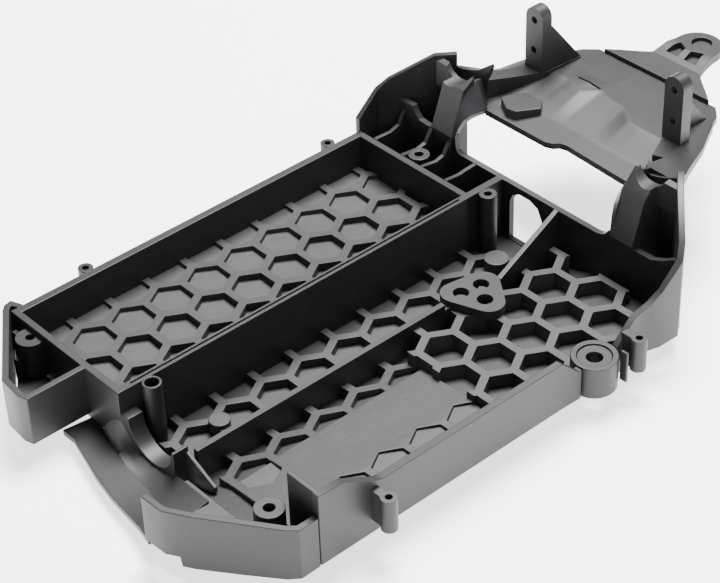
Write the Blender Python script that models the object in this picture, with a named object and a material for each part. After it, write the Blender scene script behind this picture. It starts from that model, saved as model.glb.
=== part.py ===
"""Bare moulded chassis tub of a small electric car.

The tub carries a long battery bay on its left, a deep keel down its middle and a
shallow electronics tray on its right. Honeycomb ribs stiffen every floor. Ahead of
the bays a cross wall, a window and two saddle towers lead up to a raised front deck
with two posts and a nose tab.

Every feature of the moulding is one named solid. Neighbours stand a parting gap
apart. Shapes are drawn in millimetres and scaled to metres when they are finished.
+X is the car's right, +Y is forward, +Z is up. Heights are counted from the top of
the battery floor's ribs, and lengths from the rear face of the battery bay.
"""
import math

import bmesh
import bpy
from mathutils import Matrix, Vector

# ---------------------------------------------------------------- driving dimensions
MM = 0.001
GAP = 0.3                       # parting gap between neighbouring pieces
WALL = 2.6                      # outer walls
LEFT_WALL = 3.0
THIN = 2.2                      # floors, plates and secondary walls
RIM = 12.7                      # top of the bay walls
KEEL_BOTTOM = -12.8             # underside of the keel, the lowest face of the tub
OUTER = 69.4                    # half width over the side walls
REAR_OVERHANG = 22.4            # rear boxes, behind the battery bay
NOSE_TIP = 254.1                # front of the nose tab

BAY_FRONT = 145.7               # inner face of the battery bay's front wall
REAR_WALL = 2.5                 # thickness of the bay's rear wall
DIVIDER_LEFT = -15.7
DIVIDER_RIGHT = -13.0
KEEL_FLOOR = -10.6              # top of the keel floor
KEEL_RIB_TOP = -7.4
CENTRE_WALL = 14.9              # right face of the low centre divider
CENTRE_WALL_TOP = 3.0
CROSS_REAR = 162.5              # rear face of the cross wall
CROSS_FRONT = 164.7

HEX_PITCH = 15.5                # honeycomb pitch along Y
HEX_RIB = 2.8                   # honeycomb rib width
HEX_X = -52.06                  # centre of the first honeycomb column
HEX_Y = 34.36
HEX_COLUMN = HEX_PITCH * math.sqrt(3) / 2
HEX_SIDE = (HEX_PITCH - HEX_RIB) / math.sqrt(3)

TALL_BOSS_RADIUS = 3.2
BOX_BOSS_RADIUS = 4.7
SCREW_RADIUS = 1.5              # pilot hole for a 3 mm screw
LUG_RADIUS = 2.6
PAD_CENTRE = (67.0, 123.0)
PAD_RADIUS = 7.6
PAD_HOLE_RADIUS = 2.6

POST_X = 31.5                   # posts, either side of the centre line
POST_REAR = 195.8
POST_FRONT = 200.3
POST_TOP = 58.0
POST_HALF_WIDTH = 4.0

FRONT_WALL = 2.2                # thickness of the front walls
SADDLE_INNER = 38.0             # inner end of a saddle
SADDLE_REAR = 171.8
SADDLE_FRONT = 178.9
SADDLE_BOTTOM = 27.6
SADDLE_NOTCH = (44.0, 40.4)     # centre of the round notch, as (x, z)
SADDLE_NOTCH_RADIUS = 6.5
POCKET_BOSS = (-45.0, 153.8)
POCKET_BOSS_RADIUS = 3.9
TOWER_SILL = {1: 16.1, -1: 19.2}        # top of the cross wall under the right and left towers
TOWER_BEVEL = {1: (166.4, 31.4), -1: (167.3, 34.8)}     # (y, z) where each tower's face turns
TOWER_INNER = 36.9
TOWER_OUTER = 46.7
STEP_FRONT = 224.2              # front edge of the deck, where the nose plate begins

ROUND_SEGMENTS = 24


# ---------------------------------------------------------------- modelling helpers
def clear_scene():
    for old in list(bpy.data.objects):
        bpy.data.objects.remove(old, do_unlink=True)


def to_object(bm):
    """Turn a closed bmesh into a scene object with its faces pointing out."""
    bmesh.ops.recalc_face_normals(bm, faces=bm.faces)
    mesh = bpy.data.meshes.new("solid")
    bm.to_mesh(mesh)
    bm.free()
    solid = bpy.data.objects.new("solid", mesh)
    bpy.context.scene.collection.objects.link(solid)
    return solid


def between(lower, upper):
    """Closed solid between two rings of matching points."""
    bm = bmesh.new()
    low = [bm.verts.new(p) for p in lower]
    high = [bm.verts.new(p) for p in upper]
    count = len(low)
    bm.faces.new(list(reversed(low)))
    bm.faces.new(high)
    for i in range(count):
        j = (i + 1) % count
        bm.faces.new((low[i], low[j], high[j], high[i]))
    return to_object(bm)


def prism_z(outline, z_low, z_high):
    """Plan outline of (x, y) points, raised from z_low to z_high."""
    return between([(x, y, z_low) for x, y in outline], [(x, y, z_high) for x, y in outline])


def prism_x(outline, x_low, x_high):
    """Side outline of (y, z) points, run from x_low to x_high."""
    return between([(x_low, y, z) for y, z in outline], [(x_high, y, z) for y, z in outline])


def prism_y(outline, y_low, y_high):
    """Cross-section of (x, z) points, run from y_low to y_high."""
    return between([(x, y_low, z) for x, z in outline], [(x, y_high, z) for x, z in outline])


def box(x_low, x_high, y_low, y_high, z_low, z_high):
    outline = [(x_low, y_low), (x_high, y_low), (x_high, y_high), (x_low, y_high)]
    return prism_z(outline, z_low, z_high)


def arc(cx, cy, radius, start, end, steps):
    """Points on an arc, angles in degrees."""
    angles = [math.radians(start + (end - start) * i / steps) for i in range(steps + 1)]
    return [(cx + radius * math.cos(a), cy + radius * math.sin(a)) for a in angles]


def circle(cx, cy, radius, segments=ROUND_SEGMENTS):
    return arc(cx, cy, radius, 0, 360, segments)[:-1]


def cylinder(cx, cy, radius, z_low, z_high):
    return prism_z(circle(cx, cy, radius), z_low, z_high)


def hull_of_circles(circles, steps=8):
    """Convex plan outline around circles of (x, y, radius), listed anticlockwise."""
    points = []
    count = len(circles)
    for i, (x, y, r) in enumerate(circles):
        x0, y0, _ = circles[i - 1]
        x1, y1, _ = circles[(i + 1) % count]
        start = math.degrees(math.atan2(y - y0, x - x0)) - 90
        end = math.degrees(math.atan2(y1 - y, x1 - x)) - 90
        if end < start:
            end += 360
        points += arc(x, y, r, start, end, steps)
    return points


def wall(path, thickness):
    """Wall along a plan path of (x, y, top, bottom), with its body on the path's left."""
    count = len(path)
    normals = []
    for (x0, y0, _, _), (x1, y1, _, _) in zip(path, path[1:]):
        length = math.hypot(x1 - x0, y1 - y0)
        normals.append(((y0 - y1) / length, (x1 - x0) / length))
    sections = []
    for i, (x, y, top, bottom) in enumerate(path):
        ax, ay = normals[max(i - 1, 0)]
        bx, by = normals[min(i, count - 2)]
        scale = thickness / (1 + ax * bx + ay * by)
        ix, iy = x + (ax + bx) * scale, y + (ay + by) * scale
        sections.append(((x, y, bottom), (ix, iy, bottom), (ix, iy, top), (x, y, top)))
    return loft(sections)


def loft(sections):
    """Closed solid through matching closed sections, capped at both ends."""
    bm = bmesh.new()
    rings = [[bm.verts.new(p) for p in section] for section in sections]
    for low, high in zip(rings, rings[1:]):
        count = len(low)
        for i in range(count):
            j = (i + 1) % count
            bm.faces.new((low[i], low[j], high[j], high[i]))
    bm.faces.new(list(reversed(rings[0])))
    bm.faces.new(rings[-1])
    return to_object(bm)


def sheet(stations, thickness):
    """Bent sheet through stations of two edge points each, thickened downwards."""
    sections = []
    for (ax, ay, az), (bx, by, bz) in stations:
        sections.append(
            ((ax, ay, az), (bx, by, bz), (bx, by, bz - thickness), (ax, ay, az - thickness))
        )
    return loft(sections)


def combine(target, tools, operation):
    """Apply exact booleans to the target, one tool at a time."""
    for tool in tools:
        modifier = target.modifiers.new("cut", "BOOLEAN")
        modifier.operation = operation
        modifier.solver = "EXACT"
        modifier.object = tool
        graph = bpy.context.evaluated_depsgraph_get()
        result = bpy.data.meshes.new_from_object(target.evaluated_get(graph))
        target.modifiers.clear()
        target.data = result
        bpy.data.objects.remove(tool, do_unlink=True)
    return target


def subtract(target, *tools):
    return combine(target, tools, "DIFFERENCE")


def unite(target, *tools):
    return combine(target, tools, "UNION")


def intersect(target, *tools):
    return combine(target, tools, "INTERSECT")


def keep_largest(solid):
    """Drop the loose slivers that a cut leaves along a border."""
    bm = bmesh.new()
    bm.from_mesh(solid.data)
    unseen = set(bm.verts)
    groups = []
    while unseen:
        stack = [unseen.pop()]
        group = set(stack)
        while stack:
            vert = stack.pop()
            for edge in vert.link_edges:
                other = edge.other_vert(vert)
                if other in unseen:
                    unseen.discard(other)
                    group.add(other)
                    stack.append(other)
        groups.append(group)
    groups.sort(key=len, reverse=True)
    for group in groups[1:]:
        bmesh.ops.delete(bm, geom=list(group), context="VERTS")
    bm.to_mesh(solid.data)
    bm.free()
    return solid


def mirrored(points):
    """The same plan outline on the other side of the centre line, still anticlockwise."""
    return [(-p[0],) + tuple(p[1:]) for p in reversed(points)]


# ---------------------------------------------------------------- honeycomb
def cell_centre(column, index):
    shift = HEX_PITCH / 2 if column % 2 else 0.0
    return HEX_X + HEX_COLUMN * column, HEX_Y + HEX_PITCH * index - shift


def cell(column, index, z_low, z_high):
    """Prism that cuts one honeycomb pocket, with two flats facing along Y."""
    cx, cy = cell_centre(column, index)
    return prism_z(arc(cx, cy, HEX_SIDE, 0, 300, 5), z_low, z_high)


def cells(columns, y_low, y_high, z_low, z_high):
    """All pockets of some columns whose centres lie between two lengths, as one cutter."""
    bm = bmesh.new()
    for column in columns:
        for index in range(-4, 11):
            cx, cy = cell_centre(column, index)
            if not y_low <= cy <= y_high:
                continue
            ring = arc(cx, cy, HEX_SIDE, 0, 300, 5)
            low = [bm.verts.new((x, y, z_low)) for x, y in ring]
            high = [bm.verts.new((x, y, z_high)) for x, y in ring]
            bm.faces.new(list(reversed(low)))
            bm.faces.new(high)
            for i in range(6):
                j = (i + 1) % 6
                bm.faces.new((low[i], low[j], high[j], high[i]))
    return to_object(bm)


# ---------------------------------------------------------------- finish
NYLON = {
    "floor": ((0.125, 0.122, 0.120), 0.52),
    "wall": ((0.105, 0.103, 0.106), 0.50),
    "front": ((0.140, 0.137, 0.138), 0.48),
}
CHASSIS = {}


def nylon(kind, name):
    colour, roughness = NYLON[kind]
    material = bpy.data.materials.new(name)
    material.use_nodes = True
    shader = material.node_tree.nodes["Principled BSDF"]
    shader.inputs["Base Color"].default_value = colour + (1.0,)
    shader.inputs["Roughness"].default_value = roughness
    shader.inputs["Metallic"].default_value = 0.0
    return material


def finish(solid, name, kind):
    """Name the solid, scale it to metres, and hang it on the chassis."""
    solid.name = name
    solid.data.name = name
    solid.data.transform(Matrix.Scale(MM, 4))
    solid.data.materials.clear()
    solid.data.materials.append(nylon(kind, name))
    solid.data.shade_smooth()
    solid.data.set_sharp_from_angle(angle=math.radians(30))
    solid.parent = CHASSIS["empty"]
    return solid


# ---------------------------------------------------------------- floors
def floor_line(x, points):
    """Height of a broken line of (x, z) points at x."""
    for (x0, z0), (x1, z1) in zip(points, points[1:]):
        if x <= x1:
            return z0 + (z1 - z0) * (x - x0) / (x1 - x0)
    return points[-1][1]


BATTERY_TOP = [(-OUTER + LEFT_WALL + GAP, -0.5), (DIVIDER_LEFT - GAP, -3.2)]
RIGHT_TOP = [(15.0 + GAP, -9.4), (28.0, -5.2), (OUTER - WALL - GAP, -4.4)]
RIB_TOP = 0.7                   # battery ribs
RIGHT_RIB_TOP = 0.3
TRAY_LEFT = 27.5
TRAY_TOP = [(TRAY_LEFT + GAP, -3.7), (50.0, -2.0), (OUTER - WALL - GAP, -1.7)]


def slab(top, thickness, y_low, y_high):
    """Floor that follows a broken line across the car."""
    lower = [(x, z - thickness) for x, z in top]
    return prism_y(lower + list(reversed(top)), y_low, y_high)


def build_battery_bay():
    floor = slab(BATTERY_TOP, THIN, REAR_WALL + GAP, BAY_FRONT - GAP)
    finish(floor, "battery_bay_floor", "floor")
    grid_left = -OUTER + LEFT_WALL + GAP
    grid_right = DIVIDER_LEFT - GAP
    base = [(x, floor_line(x, BATTERY_TOP) + GAP) for x in (grid_left, grid_right)]
    grid = prism_y(base + [(grid_right, RIB_TOP), (grid_left, RIB_TOP)], REAR_WALL + GAP, BAY_FRONT - GAP)
    subtract(grid, cells(range(-1, 4), -10, 160, -8, 8))
    finish(keep_largest(grid), "battery_bay_hex_grid", "floor")
    outline = [(-OUTER, -5.6), (-31.6, -5.6), (-31.6, -7.4), (DIVIDER_RIGHT, -7.4), (DIVIDER_RIGHT, RIM),
               (-OUTER, RIM)]
    finish(prism_y(outline, 0, REAR_WALL), "battery_bay_rear_wall", "wall")
    front = box(-OUTER, DIVIDER_LEFT - GAP, BAY_FRONT, BAY_FRONT + WALL, -5.6, RIM)
    finish(front, "battery_bay_front_wall", "wall")
    side = box(-OUTER, -OUTER + LEFT_WALL, REAR_WALL + GAP, BAY_FRONT - GAP, -4.0, RIM)
    finish(side, "left_side_wall", "wall")
    divider = box(DIVIDER_LEFT, DIVIDER_RIGHT, REAR_WALL + GAP, CROSS_REAR - GAP, KEEL_BOTTOM, RIM)
    subtract(divider, box(-14.9, -14.2, 6, BAY_FRONT - 2, RIM - 0.9, RIM + 1))
    finish(divider, "main_divider", "wall")


def build_keel():
    keel = box(DIVIDER_RIGHT + GAP, 15.0, 0.3, CROSS_REAR - GAP, KEEL_BOTTOM, KEEL_FLOOR)
    finish(keel, "keel_floor", "floor")
    grid = box(DIVIDER_RIGHT + GAP, CENTRE_WALL - 2 - GAP, 8, 152, KEEL_FLOOR + GAP, KEEL_RIB_TOP)
    subtract(
        grid,
        cells(range(3, 6), 0, 170, -14, 0),
        cylinder(*REAR_BOSS, TALL_BOSS_RADIUS + GAP, -14, 0),
        cylinder(*REAR_PAD, 3.5 + GAP, -14, 0),
        cylinder(*FRONT_PAD, 4.3 + GAP, -14, 0),
    )
    finish(keep_largest(grid), "keel_hex_grid", "floor")
    finish(cylinder(*REAR_PAD, 3.5, KEEL_FLOOR + GAP, -5.8), "keel_rear_pad", "floor")
    finish(cylinder(*FRONT_PAD, 4.3, KEEL_FLOOR + GAP, -6.0), "keel_front_pad", "floor")
    for name, place, hole in (("rear_tall_boss", REAR_BOSS, 2.2), ("front_tall_boss", FRONT_BOSS, 1.25)):
        boss = cylinder(*place, TALL_BOSS_RADIUS, KEEL_FLOOR + GAP, RIM - 0.2)
        x, y = place
        trim = box(x - 9, DIVIDER_RIGHT + GAP, y - 9, y + 9, -20, 20)
        subtract(boss, trim, cylinder(x, y, hole, 2.0, 20))
        finish(boss, name, "wall")


REAR_BOSS = (-10.6, 11.0)
FRONT_BOSS = (-10.6, 153.3)
REAR_PAD = (-0.5, 27.5)
FRONT_PAD = (-0.5, 147.5)


def build_right_bay():
    left = 15.0 + GAP
    right = OUTER - WALL - GAP
    lift = [(x, z + GAP) for x, z in RIGHT_TOP]
    floor = slab(RIGHT_TOP, THIN, 2.7 + GAP, CROSS_REAR - GAP)
    subtract(floor, cylinder(*PAD_CENTRE, PAD_RADIUS + GAP, -20, 20))
    finish(floor, "right_bay_floor", "floor")

    front = prism_y(lift + [(right, RIGHT_RIB_TOP), (left, RIGHT_RIB_TOP)], TRAY_FRONT + GAP, 159.6)
    link = wall([(15.0, 106, 20, -20), (18.7, 129.6, 20, -20), (13.3, 165, 20, -20)], 7.7 + GAP)
    subtract(
        front,
        cells(range(5, 10), 75, 170, -14, 8),
        cylinder(*PAD_CENTRE, PAD_RADIUS + GAP, -20, 20),
        link,
    )
    finish(keep_largest(front), "right_front_hex_grid", "floor")

    rear_top = [(TRAY_LEFT - 0.1, -3.8), (left, -4.9)]
    base = [(x, floor_line(x, lift)) for x in (left, TRAY_LEFT - 0.1)]
    rear = prism_y(base + rear_top, TRAY_REAR, TRAY_FRONT)
    subtract(rear, cells(range(5, 8), -10, 100, -14, 8))
    finish(keep_largest(rear), "right_rear_hex_grid", "floor")

    under = [(TRAY_LEFT + GAP, floor_line(TRAY_LEFT + GAP, lift)), (28.2, lift[1][1]), (right, lift[2][1])]
    tray = prism_y(under + list(reversed(TRAY_TOP)), TRAY_REAR, TRAY_FRONT)
    subtract(tray, cells(range(8, 10), 25, 85, -3.1, 8), cell(6, -1, -4.5, 8))
    finish(keep_largest(tray), "right_bay_tray", "floor")


TRAY_REAR = 9.6
TRAY_FRONT = 87.0


def build_centre_divider():
    low = wall([(CENTRE_WALL, 7.5, 3, -9), (CENTRE_WALL, 109, 3, -9)], 2.0)
    link = wall([(CENTRE_WALL, 108, 1.1, -8.2), (18.4, 129.2, 1.1, -8.2)], 2.0)
    finish(unite(low, link), "centre_divider", "wall")
    ramp = wall([(18.0, 131.6 + GAP, 3.4, -8.2), (13.2, CROSS_REAR - GAP, RIM, -9)], 2.0)
    finish(ramp, "diagonal_divider", "wall")
    corners = [(12.8, 115.9, 5.3), (23.6, 120.0, 5.4), (14.9, 126.0, 5.6)]
    plate = prism_z(hull_of_circles(corners), 1.1 + GAP, 3.4)
    subtract(plate, *[cylinder(x, y, 2.7, -5, 9) for x, y in PLATE_HOLES])
    finish(plate, "three_hole_plate", "front")


PLATE_HOLES = [(14.0, 116.9), (15.3, 124.7), (21.9, 120.0)]


def build_right_side():
    path = [
        (OUTER, 8.4, 20.6, -6.0),
        (OUTER, 17.8, 20.0, -6.0),
        (OUTER, 30.5, 12.9, -6.0),
        (OUTER, 33.0, 12.4, -6.0),
        (OUTER, 106.0, 12.3, -6.0),
        (OUTER, 113.6, 5.0, -6.3),
        (OUTER, 114.9, 5.0, -6.3),
    ]
    finish(wall(path, WALL), "right_side_wall", "wall")
    finish(box(55.6, OUTER - WALL - GAP, 8.6, 10.3, -1.3, 20.6), "partition_wall", "wall")
    pad = cylinder(*PAD_CENTRE, PAD_RADIUS, -6.5, 5.0)
    dish = cylinder(*PAD_CENTRE, PAD_RADIUS - 1.4, 3.2, 9)
    subtract(dish, cylinder(*PAD_CENTRE, 4.4, 0, 12))
    subtract(pad, dish, cylinder(*PAD_CENTRE, PAD_HOLE_RADIUS, -20, 20))
    finish(pad, "through_hole_pad", "wall")


def build_lugs():
    """Small screw lugs on the outside of both side walls."""
    places = {
        "right_rear_lug": (75.1, 29.4, 11.0, 1),
        "right_front_lug": (74.9, 134.4, 10.0, 1),
        "left_rear_lug": (-75.1, 33.0, 9.5, -1),
        "left_front_lug": (-75.1, 138.0, 9.5, -1),
    }
    for name, (x, y, top, side) in places.items():
        lug = cylinder(x, y, LUG_RADIUS, top - 12, top)
        root = side * (OUTER + GAP)
        web = box(min(root, x), max(root, x), y - 1.4, y + 1.4, top - 12, top - 0.5)
        unite(lug, web)
        subtract(lug, cylinder(x, y, 1.15, top - 8, top + 2))
        finish(lug, name, "wall")


def build_rear_boxes():
    left = [
        (-69.7, 4.9), (-74.0, 3.2), (-73.4, 0.2), (-71.3, -1.8),
        (-42.8, -21.5), (-33.1, -22.3), (-29.8, -21.3), (-29.8, -GAP),
    ]
    shell = wall([(x, y, RIM, -5.3) for x, y in left], THIN)
    subtract(shell, box(-OUTER - GAP, -28, -GAP, 20, -20, 30))
    finish(keep_largest(shell), "rear_left_box_wall", "wall")
    base = [(-68.6, -0.4), (-42.0, -18.7), (-33.4, -19.7), (-32.4, -19.2), (-32.4, -0.4)]
    finish(prism_z(base, -5.3, -3.3), "rear_left_box_floor", "floor")
    boss = cylinder(-56.5, -1.8, BOX_BOSS_RADIUS, -3.0, 10.5)
    unite(boss, box(-57.4, -55.6, -8.2, -3.0, -2.9, 5.0), box(-65.6, -59.0, -2.7, -1.0, -2.8, 8.0))
    subtract(boss, box(-80, -30, -GAP, 20, -20, 30), cylinder(-56.5, -1.8, SCREW_RADIUS, 0, 20))
    finish(boss, "rear_left_boss", "wall")

    right = [
        (27.6, -22.4, -4.2), (36.4, -22.0, -4.2), (40.4, -19.7, -4.2), (40.8, -19.5, -7.8),
        (44.2, -17.5, -7.8), (56.0, -9.2, -7.4), (66.4, -2.0, -6.6), (OUTER, 1.1, -6.2),
        (OUTER, 8.1, -6.0),
    ]
    shell = wall([(x, y, RIM, low) for x, y, low in right], THIN)
    finish(shell, "rear_right_box_wall", "wall")
    base = [
        (27.8, -19.6), (35.4, -19.3), (42.4, -15.2), (54.3, -6.8), (64.4, 0.2), (66.2, 2.4),
        (15.6, 2.4), (15.6, 0.6), (27.8, 0.6),
    ]
    finish(prism_z(base, -6.6, -4.4), "rear_right_box_floor", "floor")
    boss = cylinder(54.5, 2.5, BOX_BOSS_RADIUS, -4.1, 10.5)
    unite(boss, box(53.6, 55.4, -7.0, 0, -4.1, 7.0))
    subtract(boss, wall([(27, -28, 30, -30), (70, 2.6, 30, -30)], 4.0))
    subtract(boss, cylinder(54.5, 2.5, 1.7, 0, 20))
    finish(boss, "rear_right_boss", "wall")


def build_rear_cradle():
    u_radius = 10.5
    notch = arc(1.0, 4.6, u_radius, 180, 360, 18)
    right_end = 12.6
    outline = [(DIVIDER_RIGHT + GAP, KEEL_FLOOR + GAP), (right_end, KEEL_FLOOR + GAP), (right_end, 4.6)]
    outline += list(reversed(notch))
    outline += [(DIVIDER_RIGHT + GAP, 4.6)]
    finish(prism_y(outline, 0.2, 6.0), "rear_saddle", "wall")
    gusset = [(right_end + GAP, 3.0), (25.4, -3.4), (25.4, -5.6), (15.6, -8.9), (right_end + GAP, -8.9)]
    finish(prism_y(gusset, 4.9, 6.2), "saddle_gusset", "wall")
    lip = [
        ((-31.5, -9.8, -7.2), (-30.2, -GAP, -7.2)),
        ((-25.4, -9.8, -7.2), (-25.2, -GAP, -7.2)),
        ((-16.5, -12.3, -7.4), (-17.4, -2.5 - GAP, -7.4)),
        ((-7.0, -14.9, -7.5), (-8.1, -4.9 - GAP, -7.5)),
        ((3.5, -16.9, -7.5), (3.6, -6.9 - GAP, -7.5)),
        ((13.0, -18.1, -7.2), (13.6, -8.1 - GAP, -7.2)),
        ((20.5, -19.6, -6.0), (20.5, -9.7 - GAP, -6.0)),
        ((27.6 - GAP, -21.9, -4.4), (27.6 - GAP, -11.9 - GAP, -4.4)),
    ]
    finish(sheet(lip, THIN), "rear_lip", "wall")
    rims = [(-20.0, -3.0), (-13.6, 4.4), (-11.4, 1.0), (-8.6, -3.0), (-4.0, -6.0), (1.0, -7.0), (6.2, -6.0),
            (10.6, -4.2), (14.4, -3.4), (20.4, -3.4), (27.6 - GAP, -3.4)]
    feet = [(-22.0, -1.0, -7.0), (-17.4, -2.1, -7.0), (-14.4, -3.0, -7.2), (-10.4, -4.2, -7.3),
            (-4.6, -5.6, -7.5),
            (1.0, -6.6, -7.6), (6.6, -7.3, -7.5), (11.4, -7.8, -7.2), (14.6, -8.2, -7.0),
            (20.4, -9.7, -5.6), (27.6 - GAP, -11.9, -4.2)]
    finish(scoop_shell(rims, feet), "rear_scoop", "wall")


def scoop_shell(rims, feet):
    """Concave shell that drops from the saddle's rear face to the inner edge of the lip."""
    sections = []
    for (rx, rz), (fx, fy, fz) in zip(rims, feet):
        lean = rx - 1.0 if rx < 14.0 else 0.0
        away = Vector((lean, 0.0, rz - 12.0)).normalized() * 1.6
        crest = Vector((rx, -GAP, rz))
        foot = Vector((fx, fy, fz))
        middle = (crest + foot) / 2 + away * 0.5
        sections.append((crest, middle, foot, foot + away, middle + away, crest + away))
    return loft(sections)


# ---------------------------------------------------------------- front end
def front_wall_path():
    """Outer face of the right front wall, from the side wall round to the saddle."""
    return [
        (OUTER, 131.1 + GAP, 5.0, -6.2), (OUTER, 138.6, 12.6, -5.6), (69.6, 145.0, 14.0, -4.5),
        (71.0, 149.0, 18.0, -4.4), (71.3, 157.4, 25.6, -4.4), (68.5, 161.3, 29.6, -4.4),
        (57.0, 172.8, 39.3, -4.4), (51.8, 178.8, 39.6, 10.0),
    ]


def front_wall_clearance(side):
    """Solid that trims a neighbour to stand a parting gap inside the front wall."""
    path = [(x, y, 80.0, -40.0) for x, y, _, _ in front_wall_path()[3:]]
    path.append((49.2, 181.8, 80.0, -40.0))
    if side < 0:
        path = [(-x, y, top, low) for x, y, top, low in reversed(path)]
    return wall(path, FRONT_WALL + GAP)


def build_front_side(side, label):
    """The wall, tower, cheek, saddle, arm and post of one side; side is 1 on the right."""
    build_front_wall(side, label)
    build_tower(side, label)
    build_cheek(side, label)
    build_saddle(side, label)
    build_arm(side, label)
    build_post(side, label)


def run_x(outline, side, w_low, w_high):
    """Side outline run between two distances from the centre line, on one side of it."""
    low, high = sorted((side * w_low, side * w_high))
    return prism_x(outline, low, high)


def build_front_wall(side, label):
    path = front_wall_path()
    if side < 0:
        path = [(71.0, BAY_FRONT + WALL + GAP, 17.6, -4.5)] + path[4:]
        path = [(-x, y, top, low) for x, y, top, low in reversed(path)]
    finish(wall(path, FRONT_WALL), label + "_front_wall", "wall")


def notch_cutter(side, y_low, y_high):
    x, z = SADDLE_NOTCH
    return prism_y(circle(side * x, z, SADDLE_NOTCH_RADIUS, 32), y_low, y_high)


def build_tower(side, label):
    """Sloping buttress, with the plates behind it that close the pocket in front of the cross wall."""
    rear = CROSS_FRONT + GAP
    front = 177.0
    top = SADDLE_BOTTOM - GAP
    saddle = SADDLE_REAR - GAP
    sill = TOWER_SILL[side] + GAP
    tower = run_x([(161.4, sill), TOWER_BEVEL[side], (saddle, 37.8), (saddle, 31.4), (168.9, 29.0),
                   (164.0, sill)], side, TOWER_INNER, TOWER_OUTER)
    flank = run_x([(rear, -6.2), (front, -6.2), (front, top), (saddle, top), (saddle, 33.0),
                   (167.2, 30.4), (rear, 23.0)], side, TOWER_OUTER - 2.0, TOWER_OUTER)
    back = run_x([(front - 2.0, -6.2), (front, -6.2), (front, top), (front - 2.0, top)],
                 side, TOWER_OUTER - 1.0, 62.0)
    base = run_x([(rear, -6.2), (front, -6.2), (front, -4.2), (rear, -4.2)], side, TOWER_OUTER - 1.0, 72.0)
    unite(tower, flank, back, base)
    subtract(tower, front_wall_clearance(side), notch_cutter(side, 150.0, 190.0))
    finish(keep_largest(tower), label + "_tower", "front")


def build_cheek(side, label):
    """Fairing from the tower's inner edge down to the edge of the window."""
    inner = TOWER_INNER - GAP
    sill = TOWER_SILL[side] + 0.1 + GAP
    rails = [
        ((161.9, sill), (36.0, 162.6, sill)),
        ((163.2, 23.4), (35.6, 163.5, 22.0)),
        ((164.6, 27.4), (34.8, 165.1, 24.8)),
        ((166.8, 31.8), (33.8, 167.5, 26.2)),
        ((169.6, 35.4), (32.6, 170.4, 26.9)),
        ((173.5 - GAP, 36.4), (31.6, 173.5 - GAP, 27.2)),
    ]
    sections = []
    for index, ((y, z), (wx, wy, wz)) in enumerate(rails):
        back = 2.2 if index < 4 else (1.3 if index == 4 else 0.0)
        drop = 0.0 if index == 0 else 2.4
        sections.append((
            (side * inner, y, z), (side * wx, wy, wz),
            (side * (wx + 0.8), wy + back, wz - drop), (side * inner, y + back, z - drop),
        ))
    finish(loft(sections), label + "_window_cheek", "front")


def build_saddle(side, label):
    """Two notched ribs with a lower web between them."""
    low, high = sorted((side * SADDLE_INNER, side * 60.0))
    saddle = box(low, high, SADDLE_REAR, SADDLE_FRONT, SADDLE_BOTTOM, 40.0)
    subtract(saddle, notch_cutter(side, 160.0, 190.0))
    subtract(saddle, box(low - 1, high + 1, SADDLE_REAR + 1.9, SADDLE_FRONT - 1.7, 31.2, 60.0))
    slope = [(SADDLE_REAR - 1, 37.0), (SADDLE_REAR - 1, 60.0), (SADDLE_FRONT + 1, 60.0),
             (SADDLE_FRONT + 1, 40.6)]
    subtract(saddle, prism_x(slope, low - 1, high + 1))
    subtract(saddle, front_wall_clearance(side))
    finish(keep_largest(saddle), label + "_saddle", "front")


def arm_inner_edge():
    """Edge between the deck and the right arm, from the window to the nose step."""
    return [(31.6, 173.5), (36.2, 178.6), (26.8, 198.3), (27.0, 215.0)]


def build_arm(side, label):
    edge = arm_inner_edge()
    plan = edge[1:] + [(33.4, 215.0), (40.2, 202.0), (43.6, 191.4), (50.2, SADDLE_FRONT + GAP),
                       (36.3, SADDLE_FRONT + GAP)]
    arm = prism_z([(side * x, y) for x, y in plan], 20.0, 60.0)
    stations = [
        (176.0, 34.8, (44.0, 34.8), (56.0, 34.8), 28.0, 24.8),
        (SADDLE_FRONT, 34.6, (42.0, 34.6), (52.0, 34.4), 28.0, 24.8),
        (191.4, 34.0, (36.6, 33.8), (46.0, 29.6), 27.8, 26.2),
        (198.3, 33.7, (36.4, 33.6), (43.0, 30.8), 28.8, 27.8),
        (202.0, 33.5, (36.0, 33.5), (42.0, 31.0), 29.2, 30.2),
        (218.0, 32.6, (31.0, 32.5), (38.0, 30.2), 28.8, 30.0),
    ]
    sections = []
    for y, rim, (mid, mid_z), (out, out_z), out_low, rim_low in stations:
        ring = [(20.0, rim), (mid, mid_z), (out, out_z), (out, out_low), (20.0, rim_low)]
        sections.append([(side * x, y, z) for x, z in ring])
    intersect(arm, loft(sections))
    flare = []
    near = SADDLE_INNER - GAP
    for (x, y), foot, crest in zip([edge[0], (33.9, 176.0), (36.2, 178.5), (36.0, 179.6)],
                                   (27.2, 27.4, 27.8, 27.9), (36.0, 35.4, 34.7, 34.5)):
        ring = [(x, foot), (near - 1.1, crest), (near, crest), (near, 25.0), (x, 25.0)]
        flare.append([(side * px, y, pz) for px, pz in ring])
    unite(arm, loft(flare))
    if side > 0:
        subtract(arm, prism_z([(31.8, 184.2), (36.2, 180.8), (37.0, 186.2)], 32.0, 60.0))
    finish(arm, label + "_deck_arm", "front")


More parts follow.
